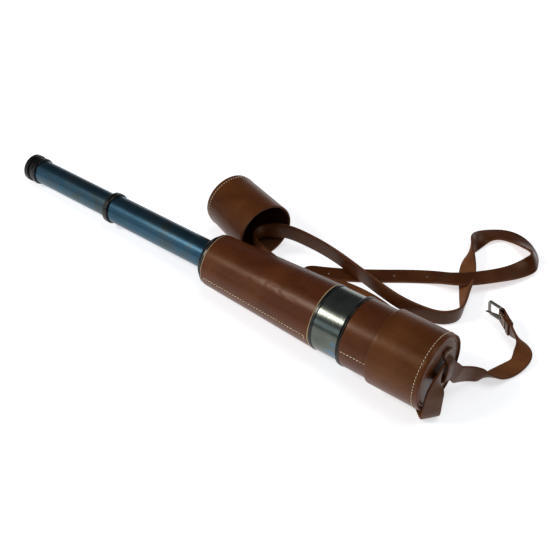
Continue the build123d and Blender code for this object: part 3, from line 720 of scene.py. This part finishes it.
def chape():
    """Two leather layers joined by a fold that a slot for the tongue runs through."""
    gap, skin, tail, nose = 1.25, 1.4, -11.0, 1.25 + 0.7
    middle = gap + skin / 2
    fold = [(nose * math.cos(a), middle * math.sin(a))
            for a in [math.radians(d) for d in range(80, -81, -20)]]
    path = [(tail, middle), (-8, middle), (-5, middle), (-2, middle), *fold,
            (-2, -middle), (-5, -middle), (-8, -middle), (tail, -middle)]
    line = [in_buckle(x, 0, z) for x, z in path]
    sides = []
    for i in range(len(line)):
        along = (line[min(i + 1, len(line) - 1)] - line[max(i - 1, 0)]).normalized()
        sides.append(BUCKLE_PLACE.to_3x3() @ Vector((0, 1, 0)))
        sides[-1] = along.cross(sides[-1]).normalized()
    if (sides[0] - chape_face).length > 1:
        sides = [-side for side in sides]
    piece = ribbon("chape", line, sides, 0.0144, skin * MM, STRAP_LOOKS)
    cutter_half = (4.6, 1.7, 5.0)
    corners = [in_buckle(x * cutter_half[0] + 0.4, y * cutter_half[1], z * cutter_half[2])
               for x in (-1, 1) for y in (-1, 1) for z in (-1, 1)]
    faces = [(0, 1, 3, 2), (4, 6, 7, 5), (0, 4, 5, 1), (2, 3, 7, 6), (0, 2, 6, 4), (1, 5, 7, 3)]
    cutter = new_object("slot_cutter", corners, faces, [STRAP_EDGE])
    modifier = piece.modifiers.new("slot", "BOOLEAN")
    modifier.object = cutter
    modifier.material_mode = "TRANSFER"
    graph = bpy.context.evaluated_depsgraph_get()
    mesh = bpy.data.meshes.new_from_object(piece.evaluated_get(graph))
    piece.modifiers.clear()
    piece.data = mesh
    bpy.data.objects.remove(cutter)
    return piece


def keeper():
    """A narrow closed leather loop round the strap."""
    half_y, half_z, corner, x = 8.7, 2.25, 1.6, -14.5
    path = []
    for y_way, z_way, start in ((1, 1, 0), (-1, 1, 90), (-1, -1, 180), (1, -1, 270)):
        for k in range(4):
            a = math.radians(start + 30 * k)
            path.append((y_way * (half_y - corner) + corner * math.cos(a),
                         z_way * (half_z - corner) + corner * math.sin(a)))
    vertices, faces = [], []
    skin, half_x = 1.0, 2.4
    profile = [(-half_x, 0), (-half_x, 0.7), (-half_x + 0.3, skin),
               (half_x - 0.3, skin), (half_x, 0.7), (half_x, 0)]
    for y, z in path:
        out = Vector((0, y - max(-half_y + corner, min(half_y - corner, y)),
                      z - max(-half_z + corner, min(half_z - corner, z)))).normalized()
        for dx, dr in profile:
            spot = Vector((x + dx, y, z)) + out * (dr - skin / 2)
            vertices.append(in_buckle(*spot))
    count, sides = len(path), len(profile)
    for i in range(count):
        for k in range(sides):
            a, b = i * sides + k, i * sides + (k + 1) % sides
            c, d = ((i + 1) % count) * sides + (k + 1) % sides, ((i + 1) % count) * sides + k
            faces.append((a, b, c, d))
    piece = new_object("keeper", vertices, faces, [STRAP_HIDE, STRAP_EDGE])
    uv = piece.data.uv_layers.new(name="strip")
    for polygon in piece.data.polygons:
        polygon.material_index = 1 if polygon.index % sides in (0, 1, 4, 5) else 0
        for loop in polygon.loop_indices:
            ring, side = divmod(piece.data.loops[loop].vertex_index, sides)
            uv.data[loop].uv = (side * 0.0012, ring * 0.0028)
    return piece


chape_piece = finished(chape(), "front_cap", "strap_leather", "sling_chape")
keeper_piece = finished(keeper(), "front_cap", "strap_leather", "sling_keeper")

CHAPE_TOP = 2.66
chape_rows = []
for row_y in (-5.4, 5.4):
    for k in range(4):
        chape_rows.append((in_buckle(-9.6 + 2.3 * k, row_y, CHAPE_TOP), chape_heading, chape_face))
for k in range(4):
    chape_rows.append((in_buckle(-10.2, -3.6 + 2.4 * k, CHAPE_TOP), chape_across, chape_face))
chape_thread = stitch_row("chape_stitches", chape_rows, 0.0018, 0.0006, THREAD)
finished(chape_thread, "front_cap", "strap_leather")

exit_point = tuple(FOOT + Vector(SHORT_END[0][0]))
[tuple(point) for point in short_line]
[tuple(point) for point in long_line]


# ---- leather on the barrel and the sunshade -----------------------------------------------------------
def lap_height(angle, edge, radius, width=11.0, depth=0.55):
    """Height in mm of a lapped seam: full over the lap, a step down at its edge, then level."""
    past = ((edge - angle + 180) % 360 - 180) * math.pi / 180 * radius
    if past < -0.45:
        return -depth
    if past < 0:
        return -depth * 1.3
    if past < 0.5:
        return -0.18 * (1 - past / 0.5) ** 2
    if past < width:
        return 0.0
    return -depth * min(1.0, (past - width) / 9.0) ** 1.5


def groove(distance, half=0.75, depth=0.2):
    """Depth in mm of the channel that a row of stitches lies in."""
    return -depth * max(0.0, 1 - (distance / half) ** 2)


def seam_angles(edge, row, radius):
    """Extra angles round a seam, so that its step and its stitch channel are crisp."""
    steps_from_edge = (-1.4, -0.5, -0.44, -0.02, 0.02, 0.25, 0.5, 1.2)
    steps_from_row = (-0.75, -0.38, 0.0, 0.38, 0.75)
    spread = [edge - math.degrees(mm / radius) for mm in steps_from_edge]
    return spread + [row - math.degrees(mm / radius) for mm in steps_from_row]


BODY_REAR, BODY_FRONT = 245.0, 366.0
BODY_REAR_R, BODY_FRONT_R, HIDE = 25.1, 30.0, 1.5
SEAM_ROW, SEAM_EDGE = 90.0, 97.0
STITCH_PITCH, STITCH_LONG, STITCH_THICK = 3.1, 0.0024, 0.00072
# Knocks in the barrel's leather: (x, angle, reach along, reach round in degrees, height).
KNOCKS = [
    (311.5, 37, 2.2, 4, -0.18), (314.5, 41, 1.5, 2, 0.17), (321, 33, 4, 2.5, -0.13), (327, 39, 2, 3, -0.17),
    (330.5, 36, 1.4, 2, 0.15), (341, 40, 5, 3, -0.11), (296, 45, 3, 4, -0.15), (286, -28, 3, 5, 0.22),
    (292, -24, 2, 4, -0.25), (301, -33, 3, 4, 0.24), (268, 60, 4, 5, -0.16), (352, 62, 3, 5, -0.14),
    (334, 10, 6, 3, -0.12), (276, 5, 5, 4, -0.12),
]


def body_radius(x):
    return BODY_REAR_R + (BODY_FRONT_R - BODY_REAR_R) * (x - BODY_REAR) / (BODY_FRONT - BODY_REAR)


def waves(x, angle, size):
    """Slow unevenness of hide over metal, in mm."""
    turn = math.radians(angle)
    spot = Vector((x * 0.035, math.cos(turn) * 1.1, math.sin(turn) * 1.1))
    return noise.noise(spot) * size - size * 0.5


def body_relief(x, angle, radius):
    height = lap_height(angle, SEAM_EDGE, radius) + waves(x, angle, 0.14)
    if BODY_REAR + 3 < x < BODY_FRONT - 3:
        height += groove((SEAM_ROW - angle) * math.pi / 180 * radius)
    for knock_x, knock_angle, reach_x, reach_angle, rise in KNOCKS:
        away = ((x - knock_x) / reach_x) ** 2 + (((angle - knock_angle + 180) % 360 - 180) / reach_angle) ** 2
        height += rise * math.exp(-away) if away < 8 else 0
    return height


HIDES = [BARREL_HIDE, RAW_EDGE, LINING]
body_outline = rounded([(BODY_REAR, BODY_REAR_R - HIDE + 0.05), (BODY_REAR, BODY_REAR_R),
                        (BODY_FRONT, BODY_FRONT_R), (BODY_FRONT, BODY_FRONT_R - HIDE + 0.05)], 0.7)
body_hide = shell("barrel_leather", INSTRUMENT, refined(body_outline, 1.6), HIDES,
                  all_round(2.5, seam_angles(SEAM_EDGE, SEAM_ROW, 27.5)), body_relief, bare=0.9)
finished(body_hide, "barrel", "barrel_leather", "body_leather")


def seam_places(first, last, angle, radius_at, sunk=0.12):
    count = round((last - first) / STITCH_PITCH)
    for k in range(count + 1):
        x = first + (last - first) * k / count
        point, along, _, out = on_shell(INSTRUMENT, x, angle, radius_at(x) - sunk)
        yield point, along, out


body_rows = list(seam_places(BODY_REAR + 5, BODY_FRONT - 5, SEAM_ROW, body_radius))
for step in (1.2, 3.9):
    hook_angle = SEAM_ROW + math.degrees(step / BODY_FRONT_R)
    hook_radius = body_radius(BODY_FRONT - 4) - 0.1
    point, _, round_way, out = on_shell(INSTRUMENT, BODY_FRONT - 3.6, hook_angle, hook_radius)
    body_rows.append((point, round_way, out))
body_thread = stitch_row("barrel_stitches", body_rows, STITCH_LONG, STITCH_THICK, THREAD)
finished(body_thread, "barrel", "barrel_leather")

SHADE_SKIN_REAR, SHADE_SKIN_FRONT, SHADE_R, SHADE_TUBE_R = 397.6, 467.0, 31.2, 30.1
SHADE_ROW, SHADE_EDGE = 80.5, 86.5


def shade_relief(x, angle, radius):
    height = lap_height(angle, SHADE_EDGE, radius, depth=0.35) + waves(x + 90, angle, 0.08)
    return height + groove((SHADE_ROW - angle) * math.pi / 180 * radius, depth=0.16)


shade_outline = rounded([(SHADE_SKIN_REAR, SHADE_TUBE_R + 0.03), (SHADE_SKIN_REAR, SHADE_R),
                         (SHADE_SKIN_FRONT, SHADE_R), (SHADE_SKIN_FRONT, SHADE_TUBE_R + 0.03)], 0.35)
shade_hide = shell("shade_leather", INSTRUMENT, refined(shade_outline, 2.2), HIDES,
                   all_round(3.0, seam_angles(SHADE_EDGE, SHADE_ROW, SHADE_R)), shade_relief)
finished(shade_hide, "sunshade", "barrel_leather", "sunshade_leather")
shade_rows = list(seam_places(SHADE_SKIN_REAR + 3, SHADE_SKIN_FRONT - 4, SHADE_ROW, lambda x: SHADE_R))
shade_thread = stitch_row("shade_stitches", shade_rows, STITCH_LONG, STITCH_THICK, THREAD)
finished(shade_thread, "sunshade", "barrel_leather")

# ---- caps ---------------------------------------------------------------------------------------------
CAP_HIDES = [CAP_HIDE, STRAP_EDGE, LINING]
DISC_INSET, DISC_THICK = 1.2, 2.2
CAP_STITCH_LONG = 0.0020


def cap_wall(name, place, mouth, end, mouth_r, end_r, skin, row_x, seed):
    """A cap's sewn wall: mouth and end are its two x places, and row_x its ring of stitches."""
    def relief(x, angle, radius):
        rim_rise = -0.25 * max(0.0, 1 - abs(x - end) / 2.2)
        return waves(x + seed, angle, 0.16) + groove(x - row_x, depth=0.24) + rim_rise

    outline = rounded([(mouth, mouth_r - skin), (mouth, mouth_r), (end, end_r), (end, end_r - skin)], 0.6)
    near_row = [row_x + offset for offset in (-0.75, -0.38, 0.0, 0.38, 0.75)]
    return shell(name, place, refined(outline, 2.5, near_row), CAP_HIDES, all_round(2.5), relief)


def cap_disc(name, place, inner_x, outer_x, radius):
    """A cap's end disc, a little domed outwards, with a worked line near its rim."""
    way = 1 if outer_x > inner_x else -1
    radii = [radius, radius - 0.1, radius - 1.2, radius - 2.4, radius - 2.9, radius - 3.4, radius - 4.6]
    radii += [radius * share for share in (0.7, 0.52, 0.34, 0.16, 0.01)]
    outline = [(inner_x, radius * 0.01), (inner_x, radius)]
    outline += [(outer_x - way * (0.5 if k == 0 else 0), r) for k, r in enumerate(radii)]

    def dome(r):
        return 0.35 * (1 - (r / radius) ** 2) + groove(r - (radius - 2.9), half=0.6, depth=0.3)

    raised = outline[:2] + [(x + way * dome(r), r) for x, r in outline[2:]]
    return disc(name, place, raised, [CAP_HIDE], all_round(4.0))


def ring_places(place, x, radius, count, sunk=0.12):
    for k in range(count):
        point, _, round_way, out = on_shell(place, x, 360 * k / count, radius - sunk)
        yield point, round_way, out


def cap_bridge(name, place, face_x, way, rise, half_long, body, node):
    """The leather keeper on a cap's end. Its feet are sewn down, and the sling passes under its middle."""
    skin, foot = 2.0, 7.0
    flat, crest = skin / 2 + 0.35, rise - skin / 2
    corner = half_long - foot
    side = [(flat, half_long), (flat, corner + 3), (flat + 0.1, corner + 0.8),
            (flat + (crest - flat) * 0.5, corner - 0.9), (crest - 0.25, corner - 2.6), (crest, corner - 6)]
    route = side + [(crest + 0.1, 0.0)] + [(x, -z) for x, z in reversed(side)]
    points = [place @ (Vector((face_x + way * x, 0, z)) * MM) for x, z in route]
    line = spline_line(points, 7)
    out = (place.to_3x3() @ Vector((way, 0, 0))).normalized()
    sides = []
    for i in range(len(line)):
        along = (line[min(i + 1, len(line) - 1)] - line[max(i - 1, 0)]).normalized()
        across = place.to_3x3() @ Vector((0, 1, 0))
        normal = along.cross(across).normalized()
        sides.append(normal if normal.dot(out) > 0 or abs(normal.dot(out)) < 1e-6 else -normal)
    piece = ribbon(name, line, sides, 0.011, skin * MM, STRAP_LOOKS, crown=0.0002)
    finished(piece, body, "cap_leather", node)
    rows = []
    for end_way in (1, -1):
        for y in (-3.9, 3.9):
            for z in (half_long - 5.6, half_long - 3.1):
                spot = Vector((face_x + way * (flat + skin / 2), y, end_way * z)) * MM
                rows.append((place @ spot, place.to_3x3() @ Vector((0, 0, 1)), out))
        for y in (-1.3, 1.3):
            spot = Vector((face_x + way * (flat + skin / 2), y, end_way * (half_long - 1.9))) * MM
            rows.append((place @ spot, place.to_3x3() @ Vector((0, 1, 0)), out))
    thread = stitch_row(name + "_stitches", rows, 0.0019, STITCH_THICK, THREAD)
    finished(thread, body, "cap_leather")


FRONT_MOUTH, FRONT_END, FRONT_R, FRONT_SKIN, FRONT_ROW = 424.0, 473.0, 33.4, 1.9, 468.4
front_wall = cap_wall("front_cap_leather", INSTRUMENT, FRONT_MOUTH, FRONT_END, FRONT_R, FRONT_R, FRONT_SKIN,
                      FRONT_ROW, 40)
finished(front_wall, "front_cap", "cap_leather", "front_cap_wall")
front_face = FRONT_END - DISC_INSET
front_disc = cap_disc("front_cap_disc", INSTRUMENT, front_face - DISC_THICK, front_face, FRONT_R - FRONT_SKIN)
finished(front_disc, "front_cap", "cap_leather", "front_cap_end")
front_ring = list(ring_places(INSTRUMENT, FRONT_ROW, FRONT_R, 74))
front_thread = stitch_row("front_cap_stitches", front_ring, CAP_STITCH_LONG, STITCH_THICK, THREAD)
finished(front_thread, "front_cap", "cap_leather")
# The front keeper is sewn on off the middle and askew.
KEEPER_OFF, KEEPER_LEAN = Vector((0, 5.5, 1.0)), -18
lean = Matrix.Rotation(math.radians(KEEPER_LEAN), 4, "X")
askew = INSTRUMENT @ Matrix.Translation(KEEPER_OFF * MM) @ lean
cap_bridge("front_keeper", askew, front_face, 1, 8.2, 17.5, "front_cap", "front_cap_bridge")

LOOSE_SKIN = 2.0
LOOSE_ROW_INSET = 4.6                     # distance of the ring of stitches from the cap's end
LOOSE_ROW = -CAP_LENGTH + LOOSE_ROW_INSET
loose_wall = cap_wall("eye_cap_leather", LOOSE_CAP, 0.0, -CAP_LENGTH, CAP_MOUTH_R, CAP_END_R, LOOSE_SKIN,
                      LOOSE_ROW, 150)
finished(loose_wall, "eye_cap", "cap_leather", "eye_cap_wall")
loose_face = -CAP_LENGTH + DISC_INSET
loose_disc = cap_disc("eye_cap_disc", LOOSE_CAP, loose_face + DISC_THICK, loose_face, CAP_END_R - LOOSE_SKIN)
finished(loose_disc, "eye_cap", "cap_leather", "eye_cap_end")
loose_row_r = CAP_END_R + (CAP_MOUTH_R - CAP_END_R) * LOOSE_ROW_INSET / CAP_LENGTH
loose_ring = list(ring_places(LOOSE_CAP, LOOSE_ROW, loose_row_r, 60))
loose_thread = stitch_row("eye_cap_stitches", loose_ring, CAP_STITCH_LONG, STITCH_THICK, THREAD)
finished(loose_thread, "eye_cap", "cap_leather")
cap_bridge("eye_cap_keeper", LOOSE_CAP, loose_face, -1, 5.6, 19, "eye_cap", "eye_cap_bridge")


# ---- stage and light ----------------------------------------------------------------------------------
def floor():
    half = 6.0
    corners = [(-half, -half, 0), (half, -half, 0), (half, half, 0), (-half, half, 0)]
    look = Look("stage_floor", Roughness=0.75, Specular_IOR_Level=0.1, Emission_Strength=0.62,
                Emission_Color=(0.97, 0.98, 1.0, 1))
    tone = look.noise(look.coordinates((1, 1, 1)), 3, 2)
    look.use("Base Color", look.ramp(tone, (0.3, (0.86, 0.865, 0.875)), (0.7, (0.87, 0.875, 0.885))))
    plane = new_object("floor", corners, [(0, 1, 2, 3)], [look.material])


def softbox(name, azimuth, elevation, distance, size, power, colour):
    """An area light that faces the object. Azimuth is counted from +X towards +Y."""
    data = bpy.data.lights.new(name, "AREA")
    data.shape = "RECTANGLE"
    data.size, data.size_y = size
    data.energy = power
    data.color = colour
    across, high = math.radians(azimuth), math.radians(elevation)
    way = Vector((math.cos(across) * math.cos(high), math.sin(across) * math.cos(high), math.sin(high)))
    middle = FOOT + Vector((0.3, 0.02, 0.03))
    aimed(bpy.data.objects.new(name, data), middle + way * distance, middle)


floor()
softbox("key_softbox", -132, 45, 1.6, (0.34, 0.34), 9, (1.0, 0.97, 0.94))
softbox("window", -120, 16, 2.0, (1.9, 0.5), 3.6, (0.70, 0.86, 1.0))
softbox("overhead", 40, 78, 2.2, (1.3, 1.3), 13, (1.0, 0.99, 0.98))
softbox("far_fill", 70, 28, 2.4, (1.2, 0.8), 4.5, (1.0, 0.98, 0.96))
world = bpy.data.worlds.new("studio")
world.use_nodes = True
world.node_tree.nodes["Background"].inputs["Color"].default_value = (0.80, 0.86, 0.95, 1)
world.node_tree.nodes["Background"].inputs["Strength"].default_value = 0.14
bpy.context.scene.world = world
bpy.context.scene.view_settings.view_transform = "Standard"
